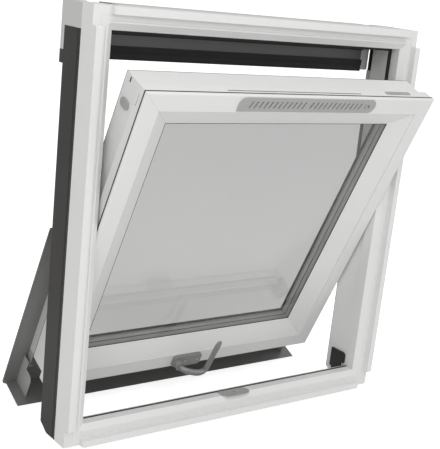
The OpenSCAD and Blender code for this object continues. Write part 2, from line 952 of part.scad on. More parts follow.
// End caps that close the space between the bottom cover and the side covers
module end_cap_at_left() {
    outer = arm_from + 11.5;
    low = -cover_low + 8;
    high = v_bottom - 9;
    near = 78;
    far = 118;
    r = 20;
    shelf = low + 80;
    translate([-outer, 0, 0]) rotate([90, 0, 90]) linear_extrude(sheet) union() {
        rect(far, low, cover_level, high);
        rect(near, low, far + 1, low + 60);
        translate([near + r, low + 60]) circle(r = r);
        rect(near + r, low + 60 - r / 2, far + 1, low + 60 + r);
    }
    block(-outer, sash_depth + 4, shelf, -arm_from + carrier_in - 2, cover_level, shelf + sheet);
    block(-arm_from, sash_depth + 4, shelf + sheet, -arm_from + 3, cover_level, v_bottom + rear_in + 6);
}

module end_cap_left() {
    color(grey) in_sash() end_cap_at_left();
}

module end_cap_right() {
    color(grey) in_sash() on_right() end_cap_at_left();
}

// ---- air inlet ----

module grille_outline() {
    end = grille_len / 2;
    r = grille_h / 2;
    union() {
        translate([end - r, 0]) circle(r = r);
        translate([-end + r, 0]) circle(r = r);
        rect(-end, -r, -end + r, 0);
        rect(-end + r, -r, end - r, r);
    }
}

// One slanted slot
module slot_shape(w) {
    slant = 4;
    polygon([[-w - slant, -slot_rise], [w - slant, -slot_rise], [w + slant, slot_rise],
        [-w + slant, slot_rise]]);
}

module slot_pattern(w) {
    for (s = [0, 1]) for (i = [0 : grille_slots - 1])
        translate([slot_first - grille_len / 2 + i * slot_pitch
            + s * (slot_pitch * (grille_slots - 1) + slot_break), 0]) slot_shape(w);
}

module inlet_grille() {
    mid = grille_low + grille_h / 2;
    color(grey) in_sash() difference() {
        translate([grille_offset, 0, mid]) face(-grille_t, 0) grille_outline();
        translate([grille_offset, 0, mid]) face(-grille_t - 1, 1) slot_pattern(2.6);
        block(knob_u - knob_r - 0.6, -grille_t - 1, mid - knob_r - 0.4,
            knob_u + slider_travel + knob_r + 0.6, 1, mid + knob_r + 0.4);
        translate([grille_offset - 1, 0, mid]) rod_y(-grille_t - 1, -grille_t + 1.2, 0, 0, 2.5);
    }
}

// Slider behind the grille, with its round button
module inlet_slider() {
    mid = grille_low + grille_h / 2;
    end = grille_len / 2 - pocket_end - 2 * slider_gap;
    half = grille_h / 2 - pocket_edge - 1;
    color(pale) in_sash() {
        difference() {
            block(grille_offset - end, slider_gap, mid - half, grille_offset + end - slider_travel,
                slider_gap + slider_t, mid + half);
            translate([grille_offset, 0, mid]) face(-proud, slider_t + proud) slot_pattern(3);
        }
        rod_y(-grille_t - 1.5, slider_gap + nip, knob_u, mid, knob_r);
    }
}

// ---- handle and locks ----

base_t = 12;
boss_t = 8;
boss_r = 15;
base_low = v_bottom + 8;
base_high = v_bottom + 52;

module handle_base() {
    r = 10;
    left = hub_u - 13;
    color(grey) in_sash() difference() {
        union() {
            face(-base_t, 0) union() {
                rect(left + r, base_low, left + base_w - r, base_high);
                rect(left, base_low + r, left + base_w, base_high - r);
                for (u = [left + r, left + base_w - r]) for (v = [base_low + r, base_high - r])
                    translate([u, v]) circle(r = r);
            }
            rod_y(-base_t - boss_t, 0, hub_u, hub_v, boss_r);
        }
        rod_y(-base_t - boss_t - proud, proud, hub_u, hub_v, spindle_r + fit_gap);
    }
}

// Cranked lever with its spindle
elbow_u = hub_u + 67;
elbow_v = v_bottom + 35;
tip_u = elbow_u + 10;
tip_v = elbow_v + 122;

module pad(u, v, w, r, t) {
    rod_y(w - t / 2, w + t / 2, u, v, r, $fn = 32);
}

module handle_lever() {
    hub_top = base_t + boss_t + case_gap;
    bar_t = 10;
    color(grey) in_sash() {
        rod_y(-hub_top - 14, -hub_top, hub_u, hub_v, boss_r);
        rod_y(-hub_top - nip, case_near + spindle_deep, hub_u, hub_v, spindle_r);
        hull() {
            pad(hub_u, hub_v, -hub_top - boss_t, 12, bar_t);
            pad(elbow_u, elbow_v, -handle_stand, 11, bar_t);
        }
        hull() {
            pad(elbow_u, elbow_v, -handle_stand, 11, bar_t);
            pad(tip_u, tip_v, -handle_stand, 13, bar_t - 1);
        }
    }
}

// Lock case in the bottom rail's chamber, bored for the spindle and the bolt
case_near = leaf_t + case_gap;
case_low = v_bottom + rear_in + 2 + case_gap;
case_high = v_bottom + band_w - wall - 1 - case_gap;
case_far = front_depth - wall - 4 - case_gap;
bolt_top = case_low + 22;

module lock_case() {
    color(metal) in_sash() difference() {
        block(hub_u - 30, case_near, case_low, bolt_u + 40, case_far, case_high);
        rod_y(0, case_near + spindle_deep + 2, hub_u, hub_v, spindle_r + fit_gap);
        rod_z(case_low - 1, bolt_top + 2, bolt_u, bolt_w, bolt_r + fit_gap);
    }
}

module lock_bolt() {
    color(metal) in_sash() rod_z(v_bottom + front_in + 0.5, bolt_top, bolt_u, bolt_w, bolt_r);
}

// Cleaning latch on the left stile: oval housing with a guide tube, and its bolt
latch_t = 4;
latch_deep = 34;

module side_latch() {
    color(grey) in_sash() difference() {
        union() {
            translate([-arm_from - latch_t, 0, 0]) rotate([90, 0, 90]) linear_extrude(latch_t) union() {
                translate([latch_w - latch_long, latch_v]) circle(r = latch_wide);
                translate([latch_w + latch_long, latch_v]) circle(r = latch_wide);
                rect(latch_w - latch_long, latch_v - latch_wide, latch_w + latch_long, latch_v + latch_wide);
            }
            rod_x(-arm_from - 1, -arm_from + latch_deep - 4, latch_bolt_w, latch_v, guide_r);
        }
        rod_x(-arm_from - latch_t - proud, -arm_from + latch_deep + proud, latch_bolt_w, latch_v,
            latch_r + fit_gap);
    }
}

module latch_bolt() {
    color(metal) in_sash()
        rod_x(-arm_from - latch_t + 0.4, -arm_from + latch_deep, latch_bolt_w, latch_v, latch_r);
}

// ---- all nodes ----

frame_head();
frame_sill();
frame_jamb_left();
frame_jamb_right();
jamb_steel_left();
jamb_steel_right();
sill_gasket();
head_gasket();
stop_strip_left();
stop_strip_right();
stop_gasket_left();
stop_gasket_right();
side_cladding_left();
side_cladding_right();
cladding_cap_left();
cladding_cap_right();
cladding_clips();
head_hood();
hood_seal();
sill_cladding();
corner_block_left();
corner_block_right();
striker_plate();
hinge_plate_left();
hinge_plate_right();
hinge_pin_left();
hinge_pin_right();
frame_screws();
sash_top_rail();
sash_bottom_rail();
sash_stile_left();
sash_stile_right();
glazing_bead_top();
glazing_bead_bottom();
glazing_bead_left();
glazing_bead_right();
sash_gasket();
glazing_gasket_inner();
glazing_gasket_outer();
inner_pane();
outer_pane();
spacer_bar();
sash_cladding();
hinge_arm_left();
hinge_arm_right();
cover_carrier_left();
cover_carrier_right();
lower_cover_left();
lower_cover_right();
bottom_cover();
end_cap_left();
end_cap_right();
inlet_grille();
inlet_slider();
handle_base();
handle_lever();
lock_case();
lock_bolt();
side_latch();
latch_bolt();
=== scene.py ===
import json
import math

import bpy
from mathutils import Matrix, Vector


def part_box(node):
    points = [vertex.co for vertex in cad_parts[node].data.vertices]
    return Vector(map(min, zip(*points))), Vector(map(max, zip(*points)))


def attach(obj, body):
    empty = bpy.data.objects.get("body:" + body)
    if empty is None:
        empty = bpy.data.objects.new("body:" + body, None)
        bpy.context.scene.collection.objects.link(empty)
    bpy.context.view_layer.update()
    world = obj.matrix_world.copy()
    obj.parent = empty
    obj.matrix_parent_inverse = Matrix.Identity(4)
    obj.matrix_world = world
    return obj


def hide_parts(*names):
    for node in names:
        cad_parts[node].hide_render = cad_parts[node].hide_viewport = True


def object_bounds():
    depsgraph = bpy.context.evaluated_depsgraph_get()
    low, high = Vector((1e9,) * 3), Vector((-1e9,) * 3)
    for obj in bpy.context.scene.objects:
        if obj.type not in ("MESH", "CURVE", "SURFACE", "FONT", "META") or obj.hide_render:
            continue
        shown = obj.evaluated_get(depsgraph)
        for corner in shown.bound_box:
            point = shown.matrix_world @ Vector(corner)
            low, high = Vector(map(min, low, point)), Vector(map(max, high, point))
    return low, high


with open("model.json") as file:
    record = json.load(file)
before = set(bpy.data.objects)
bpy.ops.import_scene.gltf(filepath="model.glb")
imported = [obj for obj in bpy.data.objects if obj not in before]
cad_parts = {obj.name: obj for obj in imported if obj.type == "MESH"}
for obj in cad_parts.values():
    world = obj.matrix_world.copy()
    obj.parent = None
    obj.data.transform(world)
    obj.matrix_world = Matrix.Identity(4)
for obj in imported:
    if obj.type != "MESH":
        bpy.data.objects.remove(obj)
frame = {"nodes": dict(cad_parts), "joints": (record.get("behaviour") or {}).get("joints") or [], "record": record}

cad_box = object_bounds()
nodes = frame["nodes"]
joints = {j["name"]: j for j in frame["joints"]}

# ---- sizes taken from the frame, in metres ----

pivot = Vector(joints["sash_pivot"]["pos_m"])
opening_angle = math.radians(-joints["sash_pivot"]["range_deg"][0])
high_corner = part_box("frame_head")[1]
half_width = high_corner[0]
frame_height = high_corner[2]

# Where the pivot sits in the sash: behind its room face and above its middle
pivot_behind_face = 0.135
pivot_above_middle = 0.085

# The sash's own frame: X across, Y into the glass, Z up the sash, zero in the middle of its room face
sash_place = (
    Matrix.Translation(pivot)
    @ Matrix.Rotation(opening_angle, 4, "X")
    @ Matrix.Translation((0, -pivot_behind_face, -pivot_above_middle))
)
back_to_sash = sash_place.inverted()


def in_sash(point):
    """A point of the frame, measured in the sash's own frame to a hundredth of a millimetre."""
    return [round(value, 5) for value in back_to_sash @ Vector(point)]


def sash_box(name):
    """Low and high corners of a CAD node in the sash's own frame."""
    points = [in_sash(vertex.co) for vertex in nodes[name].data.vertices]
    return [[pick(point[i] for point in points) for i in range(3)] for pick in (min, max)]


# The handle's hub, the upper face of the top rail inside its lips, and the left stile's two faces
hub_x, _, hub_z = in_sash(joints["handle_turn"]["pos_m"])
rail_lip = 0.002
rail_top = sash_box("sash_top_rail")[1][2] - rail_lip
stile_lip = 0.0018
stile_side = sash_box("sash_stile_left")[0][0] + stile_lip
leg_side = sash_box("sash_cladding")[0][0]

# Directions that a face can look in
ROOM, WEATHER = (0, -1, 0), (0, 1, 0)
UP, DOWN = (0, 0, 1), (0, 0, -1)
LEFT, RIGHT = (-1, 0, 0), (1, 0, 0)

# How sharp an edge is to be rounded, how far smooth shading reaches, and what counts as flat
SHARP = math.radians(30)
SMOOTH_UP_TO = math.radians(50)
FLAT = math.radians(1)

# Points nearer than this are merged, and an edge this straight runs along its axis
merge_within = 0.00002
straight_within = 1e-6

# Rounding of the edges of each kind of piece
profile_edge = 0.0009
bead_edge = 0.0006
sheet_edge = 0.0006
cover_edge = 0.0007
strip_edge = 0.0007
cap_edge = 0.0010
block_edge = 0.0012
plate_edge = 0.0006
fitting_edge = 0.0003


# ---- small tools ----


def clear_selection():
    """Leaves edit mode and selects nothing."""
    if bpy.context.object and bpy.context.object.mode == "EDIT":
        bpy.ops.object.mode_set(mode="OBJECT")
    bpy.ops.object.select_all(action="DESELECT")


def take(piece):
    """Selects one piece alone and makes it the active one."""
    clear_selection()
    piece.select_set(True)
    bpy.context.view_layer.objects.active = piece


def edit(piece, choose="DESELECT"):
    """Opens a piece in edit mode with nothing, or all of it, selected."""
    take(piece)
    bpy.ops.object.mode_set(mode="EDIT")
    bpy.ops.mesh.select_all(action=choose)


def select_faces(piece, wanted):
    """Selects the faces whose centre and normal pass the test."""
    bpy.ops.object.mode_set(mode="OBJECT")
    for face in piece.data.polygons:
        face.select = wanted(face.center, face.normal)
    bpy.ops.object.mode_set(mode="EDIT")


def select_edges(piece, wanted):
    """Selects the edges whose two ends pass the test."""
    bpy.ops.object.mode_set(mode="OBJECT")
    mesh = piece.data
    for part in (mesh.polygons, mesh.edges, mesh.vertices):
        part.foreach_set("select", [False] * len(part))
    for edge in mesh.edges:
        a, b = (mesh.vertices[i].co for i in edge.vertices)
        edge.select = wanted(a, b)
    bpy.ops.object.mode_set(mode="EDIT")
    bpy.ops.mesh.select_mode(type="EDGE")


def smooth(piece):
    """Smooth shading on the rounded parts and even shading on the flats."""
    take(piece)
    bpy.ops.object.shade_smooth_by_angle(angle=SMOOTH_UP_TO)
    even = piece.modifiers.new("even shading", "WEIGHTED_NORMAL")
    even.keep_sharp = True
    bpy.ops.object.modifier_apply(modifier=even.name)


def round_edges(piece, width, steps=2):
    """Rounds every sharp edge and evens out the shading of the flats."""
    take(piece)
    bevel = piece.modifiers.new("rounding", "BEVEL")
    bevel.width = width
    bevel.segments = steps
    bevel.limit_method = "ANGLE"
    bevel.angle_limit = SHARP
    bpy.ops.object.modifier_apply(modifier=bevel.name)
    smooth(piece)


def looking(direction, closeness=0.9):
    """A test for the faces that look in a direction."""
    way = Vector(direction)
    return lambda centre, normal: normal.dot(way) > closeness


def inset_faces(piece, wanted, *steps):
    """Insets the faces that pass the test, once for each pair of thickness and depth."""
    edit(piece)
    bpy.ops.mesh.select_mode(type="FACE")
    select_faces(piece, wanted)
    for thickness, depth in steps:
        bpy.ops.mesh.inset(thickness=thickness, depth=depth)
    bpy.ops.object.mode_set(mode="OBJECT")


def round_corners(piece, axis, radius, steps):
    """Rounds the edges of a piece that run along one axis."""
    others = [i for i in range(3) if i != "XYZ".index(axis)]
    edit(piece)
    select_edges(piece, lambda a, b: all(abs(a[i] - b[i]) < straight_within for i in others))
    bpy.ops.mesh.bevel(offset=radius, segments=steps, affect="EDGES")
    bpy.ops.object.mode_set(mode="OBJECT")


def settle(piece, place):
    """Moves a piece's mesh to its place and leaves its object at the origin."""
    take(piece)
    piece.matrix_world = place
    bpy.ops.object.transform_apply(location=True, rotation=True, scale=True)


def finish_piece(piece, body, finish, replaced=()):
    """Gives a piece its finish and its body, and hides the CAD nodes that it stands for."""
    piece.data.materials.clear()
    piece.data.materials.append(finish)
    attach(piece, body)
    if replaced:
        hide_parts(*replaced)


def new_box(name, low, high):
    """A box primitive at its size and place, ready to be shaped."""
    clear_selection()
    middle = [(a + b) / 2 for a, b in zip(low, high)]
    bpy.ops.mesh.primitive_cube_add(size=1, location=middle)
    piece = bpy.context.object
    piece.name = piece.data.name = name
    piece.scale = [b - a for a, b in zip(low, high)]
    bpy.ops.object.transform_apply(location=True, rotation=True, scale=True)
    return piece


def new_disc(name, centre, radius, depth, along, sides=32):
    """A round primitive with its axis along X, Y or Z."""
    clear_selection()
    turn = {"X": (0, math.pi / 2, 0), "Y": (math.pi / 2, 0, 0), "Z": (0, 0, 0)}[along]
    bpy.ops.mesh.primitive_cylinder_add(
        vertices=sides, radius=radius, depth=depth, location=centre, rotation=turn
    )
    piece = bpy.context.object
    piece.name = piece.data.name = name
    bpy.ops.object.transform_apply(location=True, rotation=True, scale=True)
    return piece


def join(name, parts):
    """Makes one named piece of several parts."""
    clear_selection()
    for part in parts:
        part.select_set(True)
    bpy.context.view_layer.objects.active = parts[0]
    bpy.ops.object.join()
    piece = bpy.context.object
    piece.name = piece.data.name = name
    return piece


def softened(name, width, finish, body):
    """A copy of a CAD node with its sharp edges rounded as the real piece's are."""
    piece = bpy.data.objects.new(name + "_finished", nodes[name].data.copy())
    bpy.context.scene.collection.objects.link(piece)
    edit(piece, "SELECT")
    bpy.ops.mesh.remove_doubles(threshold=merge_within)
    bpy.ops.mesh.dissolve_limited(angle_limit=FLAT)
    bpy.ops.object.mode_set(mode="OBJECT")
    round_edges(piece, width)
    finish_piece(piece, body, finish, (name,))
    return piece


def paint_faces(piece, finish, wanted):
    """Gives the faces that pass the test a finish of their own."""
    piece.data.materials.append(finish)
    added = len(piece.data.materials) - 1
    for face in piece.data.polygons:
        if wanted(face.center, face.normal):
            face.material_index = added


# ---- shared surface effects ----


def new_group(name, inputs, outputs):
    """An empty node group with number inputs, and its entry and exit nodes."""
    tree = bpy.data.node_groups.new(name, "ShaderNodeTree")
    for label, value in inputs:
        socket = tree.interface.new_socket(label, in_out="INPUT", socket_type="NodeSocketFloat")
        socket.default_value = value
    for label, kind in outputs:
        tree.interface.new_socket(label, in_out="OUTPUT", socket_type=kind)
    return tree, tree.nodes.new("NodeGroupInput"), tree.nodes.new("NodeGroupOutput")


def node(tree, kind, **values):
    """A new shader node with some of its settings."""
    made = tree.nodes.new(kind)
    for key, value in values.items():
        setattr(made, key, value)
    return made


def wire(tree, start, end):
    """Joins one node's output to another's input."""
    tree.links.new(start, end)


def math_node(tree, operation, first, second):
    """The result of one sum on two values, each a number or a socket."""
    made = node(tree, "ShaderNodeMath", operation=operation)
    for socket, value in zip(made.inputs, (first, second)):
        if isinstance(value, (int, float)):
            socket.default_value = value
        else:
            wire(tree, value, socket)
    return made.outputs[0]


def moulded_grain_group():
    """Fine skin of plastic, lacquer or sheet: a height and slight changes of tone and gloss."""
    gloss_share = 0.25
    tree, entry, leave = new_group(
        "Moulded grain",
        [("Grain Size", 900.0), ("Cloud Size", 3.0), ("Tone Change", 0.03)],
        [("Height", "NodeSocketFloat"), ("Tone", "NodeSocketFloat"), ("Gloss", "NodeSocketFloat")],
    )
    place = node(tree, "ShaderNodeTexCoord")
    grain = node(tree, "ShaderNodeTexNoise")
    grain.inputs["Detail"].default_value = 2.0
    cloud = node(tree, "ShaderNodeTexNoise")
    cloud.inputs["Detail"].default_value = 4.0
    wire(tree, place.outputs["Object"], grain.inputs["Vector"])
    wire(tree, place.outputs["Object"], cloud.inputs["Vector"])
    wire(tree, entry.outputs["Grain Size"], grain.inputs["Scale"])
    wire(tree, entry.outputs["Cloud Size"], cloud.inputs["Scale"])
    centred = math_node(tree, "SUBTRACT", cloud.outputs[0], 0.5)
    change = math_node(tree, "MULTIPLY", centred, entry.outputs["Tone Change"])
    wire(tree, math_node(tree, "ADD", change, 1.0), leave.inputs["Tone"])
    wire(tree, grain.outputs[0], leave.inputs["Height"])
    wire(tree, math_node(tree, "MULTIPLY", centred, gloss_share), leave.inputs["Gloss"])
    return tree


def draw_lines_group():
    """Faint lines that a die leaves along an extruded profile."""
    tree, entry, leave = new_group(
        "Draw lines",
        [("Across X", 1.0), ("Across Y", 1.0), ("Across Z", 1.0), ("Tilt", 0.0)],
        [("Height", "NodeSocketFloat")],
    )
    place = node(tree, "ShaderNodeTexCoord")
    turn = node(tree, "ShaderNodeMapping")
    spin = node(tree, "ShaderNodeCombineXYZ")
    size = node(tree, "ShaderNodeCombineXYZ")
    lines = node(tree, "ShaderNodeTexNoise")
    lines.inputs["Scale"].default_value = 260.0
    lines.inputs["Detail"].default_value = 1.0
    wire(tree, entry.outputs["Tilt"], spin.inputs["X"])
    for axis in "XYZ":
        wire(tree, entry.outputs["Across " + axis], size.inputs[axis])
    wire(tree, spin.outputs[0], turn.inputs["Rotation"])
    wire(tree, size.outputs[0], turn.inputs["Scale"])
    wire(tree, place.outputs["Object"], turn.inputs["Vector"])
    wire(tree, turn.outputs[0], lines.inputs["Vector"])
    wire(tree, lines.outputs[0], leave.inputs["Height"])
    return tree


def settled_dust_group():
    """Thin dust on the faces that look up."""
    tree, entry, leave = new_group(
        "Settled dust", [("Amount", 0.1)], [("Mask", "NodeSocketFloat")]
    )
    place = node(tree, "ShaderNodeTexCoord")
    facing = node(tree, "ShaderNodeSeparateXYZ")
    spread = node(tree, "ShaderNodeTexNoise")
    spread.inputs["Scale"].default_value = 22.0
    spread.inputs["Detail"].default_value = 6.0
    geometry = node(tree, "ShaderNodeNewGeometry")
    wire(tree, place.outputs["Object"], spread.inputs["Vector"])
    wire(tree, geometry.outputs["Normal"], facing.inputs[0])
    upward = math_node(tree, "MAXIMUM", facing.outputs["Z"], 0.0)
    patchy = math_node(tree, "MULTIPLY", upward, spread.outputs[0])
    wire(tree, math_node(tree, "MULTIPLY", patchy, entry.outputs["Amount"]), leave.inputs["Mask"])
    return tree


moulded_grain = moulded_grain_group()
draw_lines = draw_lines_group()
settled_dust = settled_dust_group()


# ---- finishes ----


def place_group(tree, group, **values):
    """A shared effect placed in a material, with its own values."""
    made = node(tree, "ShaderNodeGroup", node_tree=group)
    for key, value in values.items():
        made.inputs[key.replace("_", " ")].default_value = value
    return made


dust_tone = (0.55, 0.53, 0.50, 1)
coat_blur = 0.2
bump_strength = 0.35
bump_distance = 0.0006


def base_finish(name, colour, roughness, metal=0.0, specular=0.5, coat=0.0, grain=900.0,
                relief=0.05, tone=0.04, cloud=3.0, dust=0.0, lines=None, lines_relief=0.0):
    """A solid finish: toned colour, uneven gloss and a fine relief."""
    material = bpy.data.materials.new(name)
    material.use_nodes = True
    tree = material.node_tree
    shader = tree.nodes["Principled BSDF"]
    shader.inputs["Metallic"].default_value = metal
    shader.inputs["Specular IOR Level"].default_value = specular
    shader.inputs["Coat Weight"].default_value = coat
    shader.inputs["Coat Roughness"].default_value = coat_blur
    skin = place_group(tree, moulded_grain, Grain_Size=grain, Cloud_Size=cloud, Tone_Change=tone)
    shade = node(tree, "ShaderNodeVectorMath", operation="SCALE")
    shade.inputs[0].default_value = colour
    wire(tree, skin.outputs["Tone"], shade.inputs["Scale"])
    tint = shade.outputs[0]
    gloss = math_node(tree, "ADD", skin.outputs["Gloss"], roughness)
    if dust:
        film = place_group(tree, settled_dust, Amount=dust)
        mix = node(tree, "ShaderNodeMix", data_type="RGBA")
        mix.inputs["B"].default_value = dust_tone
        wire(tree, film.outputs["Mask"], mix.inputs["Factor"])
        wire(tree, tint, mix.inputs["A"])
        tint = mix.outputs["Result"]
        gloss = math_node(tree, "ADD", gloss, film.outputs["Mask"])
    height = math_node(tree, "MULTIPLY", skin.outputs["Height"], relief)
    if lines:
        drawn = place_group(tree, draw_lines, Across_X=lines[0], Across_Y=lines[1],
                            Across_Z=lines[2], Tilt=lines[3])
        ridges = math_node(tree, "MULTIPLY", drawn.outputs["Height"], lines_relief)
        height = math_node(tree, "ADD", height, ridges)
    bump = node(tree, "ShaderNodeBump")
    bump.inputs["Strength"].default_value = bump_strength
    bump.inputs["Distance"].default_value = bump_distance
    wire(tree, height, bump.inputs["Height"])
    wire(tree, bump.outputs[0], shader.inputs["Normal"])
    wire(tree, tint, shader.inputs["Base Color"])
    wire(tree, gloss, shader.inputs["Roughness"])
    return material


# How closely the draw lines repeat across each axis, on a bar that lies along X or stands along Z
LONG_X, LONG_Z = (0.01, 1, 1), (1, 1, 0.01)
profile_white = (0.80, 0.80, 0.79)


def profile_finish(name, along, tilt=0.0):
    """White extruded plastic with the die's lines along the bar."""
    return base_finish(name, profile_white, 0.36, coat=0.08, relief=0.12, tone=0.03,
                       lines=(*along, tilt), lines_relief=0.12)


glass_tint = (0.886, 0.890, 0.883)
glass_bending = 1.38
glass_haze = 0.006


def glass_finish():
    """Thin float glass with a faint grey body and hardly any haze."""
    material = bpy.data.materials.new("Float glass")
    material.use_nodes = True
    tree = material.node_tree
    shader = tree.nodes["Principled BSDF"]
    shader.inputs["Transmission Weight"].default_value = 1.0
    shader.inputs["IOR"].default_value = glass_bending
    skin = place_group(tree, moulded_grain, Grain_Size=4.0, Cloud_Size=1.6, Tone_Change=0.03)
    shade = node(tree, "ShaderNodeVectorMath", operation="SCALE")
    shade.inputs[0].default_value = glass_tint
    wire(tree, skin.outputs["Tone"], shade.inputs["Scale"])
    wire(tree, shade.outputs[0], shader.inputs["Base Color"])
    haze = math_node(tree, "MULTIPLY", skin.outputs["Height"], glass_haze)
    wire(tree, haze, shader.inputs["Roughness"])
    return material


frame_upright = profile_finish("White profile, upright", LONG_Z)
frame_level = profile_finish("White profile, level", LONG_X)
sash_upright = profile_finish("White sash profile, upright", LONG_Z, -opening_angle)
sash_level = profile_finish("White sash profile, level", LONG_X)
pale_plastic = base_finish("Pale grey plastic", (0.60, 0.60, 0.59), 0.46, relief=0.5, tone=0.06)
grey_plastic = base_finish("Grey moulded plastic", (0.40, 0.40, 0.395), 0.42, relief=0.6, tone=0.05)
cap_grey = base_finish("Grey end plastic", (0.36, 0.36, 0.35), 0.45, relief=0.6, tone=0.06)
slot_grey = base_finish("Dark slot plastic", (0.16, 0.16, 0.155), 0.5, relief=0.6, tone=0.1)
handle_lacquer = base_finish("Grey cast lacquer", (0.28, 0.28, 0.275), 0.36, metal=0.25, coat=0.2,
                             grain=500.0, relief=0.8, tone=0.08, cloud=30.0)
striker_lacquer = base_finish("Grey striker lacquer", (0.40, 0.40, 0.395), 0.38, metal=0.2,
                              relief=0.5, tone=0.08, cloud=30.0)
dark_sheet = base_finish("Dark coated sheet", (0.022, 0.0195, 0.018), 0.42, specular=0.4,
                         grain=1400.0, relief=0.7, tone=0.2, cloud=6.0, dust=0.04)
# Painted light: a lighter grey copy of the dark coated sheet, standing in for light and sky reflection on the
# covers' faces that don't face the weather
painted_light_cover_sheet = base_finish("Coated sheet with painted light", (0.26, 0.258, 0.254), 0.38, metal=0.5,
                          grain=1400.0, relief=0.7, tone=0.15, cloud=5.0, dust=0.04)
# Painted light: a lighter grey copy of the dark sheet, standing in for the light on the hood skirt's faces towards
# the room
painted_light_skirt_sheet = base_finish("Skirt sheet with painted light", (0.15, 0.149, 0.146), 0.40, metal=0.5, grain=1400.0,
                          relief=0.7, tone=0.15, cloud=5.0)
seal_rubber = base_finish("Black seal rubber", (0.009, 0.009, 0.009), 0.55, relief=1.0,
                          grain=300.0, tone=0.3, cloud=40.0)
black_plastic = base_finish("Black moulded plastic", (0.018, 0.018, 0.018), 0.40, relief=0.8,
                            grain=700.0, tone=0.2, cloud=20.0)
zinc_steel = base_finish("Zinc plated steel", (0.50, 0.51, 0.52), 0.34, metal=0.9, relief=0.5,
                         grain=220.0, tone=0.18, cloud=60.0)
spacer_finish = base_finish("Dull spacer section", (0.74, 0.74, 0.73), 0.5, metal=0.2, relief=0.6,
                            grain=420.0, tone=0.12, cloud=45.0)
float_glass = glass_finish()

# The finish of the CAD nodes in each material slot
FINISH_OF_SLOT = {
    "white_pvc": frame_upright,
    "pale_pvc": pale_plastic,
    "grey_trim": grey_plastic,
    "handle_metal": striker_lacquer,
    "dark_cladding": dark_sheet,
    "black_seal": seal_rubber,
    "black_plastic": black_plastic,
    "steel": zinc_steel,
    "clear_glass": float_glass,
    "spacer_metal": spacer_finish,
}


def dress_cad_nodes():
    """Gives each carried-over node the finish of its slot."""
    for subpart in frame["record"]["subparts"]:
        piece = nodes[subpart["node"]]
        finish = FINISH_OF_SLOT[subpart["material_slot"]]
        if not piece.data.materials:
            piece.data.materials.append(finish)
        for place in piece.material_slots:
            place.material = finish


# ---- profiles and sheets with rounded edges ----


def profiles():
    """White plastic bars of the frame and the sash, and the glazing beads."""
    for name in ("frame_jamb_left", "frame_jamb_right"):
        softened(name, profile_edge, frame_upright, "frame")
    for name in ("frame_head", "frame_sill"):
        softened(name, profile_edge, frame_level, "frame")
    for name in ("sash_stile_left", "sash_stile_right"):
        softened(name, profile_edge, sash_upright, "sash")
    for name in ("sash_top_rail", "sash_bottom_rail"):
        softened(name, profile_edge, sash_level, "sash")
    for name in ("glazing_bead_left", "glazing_bead_right"):
        softened(name, bead_edge, sash_upright, "sash")
    for name in ("glazing_bead_top", "glazing_bead_bottom"):
        softened(name, bead_edge, sash_level, "sash")


def hood():
    """Dark hood over the head, with painted light on the skirt: its faces towards the room get a lighter grey copy
    of the dark sheet. It also has a pale lid.
    """
    skirt_low = frame_height - 0.126
    lid_low = frame_height - 0.0025
    skirt, lid = looking(ROOM, 0.5), looking(UP, 0.5)
    piece = softened("head_hood", sheet_edge, dark_sheet, "frame")
    # Painted light: the skirt's faces towards the room get the lighter grey copy of the dark sheet
    paint_faces(piece, painted_light_skirt_sheet, lambda c, n: c.z > skirt_low and skirt(c, n))
    paint_faces(piece, pale_plastic, lambda c, n: c.z > lid_low and lid(c, n))


def side_claddings():
    """Dark sheet over the weather side of the jambs."""
    for name in ("side_cladding_left", "side_cladding_right"):
        softened(name, sheet_edge, dark_sheet, "frame")


def sash_covers():
    """Lower covers of the sash in the dark sheet, with painted light: a lighter grey copy of the sheet where they
    don't face the weather, and the dark sheet above.
    """
    outer = looking(WEATHER, 0.2)
    for name in ("lower_cover_left", "lower_cover_right", "bottom_cover"):
        cover = softened(name, cover_edge, dark_sheet, "sash")
        # Painted light: the faces that don't face the weather get the lighter grey copy of the dark sheet
        paint_faces(cover, painted_light_cover_sheet, lambda c, n: not outer(c, n))
    softened("sash_cladding", cover_edge, dark_sheet, "sash")


def plastic_parts():
    """Moulded caps, strips, blocks, grille and latch, and the cast striker."""
    for name in ("cladding_cap_left", "cladding_cap_right"):
        softened(name, cap_edge, pale_plastic, "frame")
    for name in ("stop_strip_left", "stop_strip_right"):
        softened(name, strip_edge, pale_plastic, "frame")
    for name in ("corner_block_left", "corner_block_right", "cladding_clips"):
        softened(name, block_edge, black_plastic, "frame")
    for name in ("end_cap_left", "end_cap_right"):
        softened(name, sheet_edge, cap_grey, "sash")
    softened("inlet_grille", strip_edge, grey_plastic, "sash")
    softened("side_latch", block_edge, grey_plastic, "sash")
    softened("striker_plate", plate_edge, striker_lacquer, "frame")


# ---- handle ----

elbow_x, elbow_z = hub_x + 0.067, hub_z + 0.005
tip_x, tip_z = hub_x + 0.077, hub_z + 0.127
arm_out = -0.0702
hub_radius = 0.0148
round_sides = 40


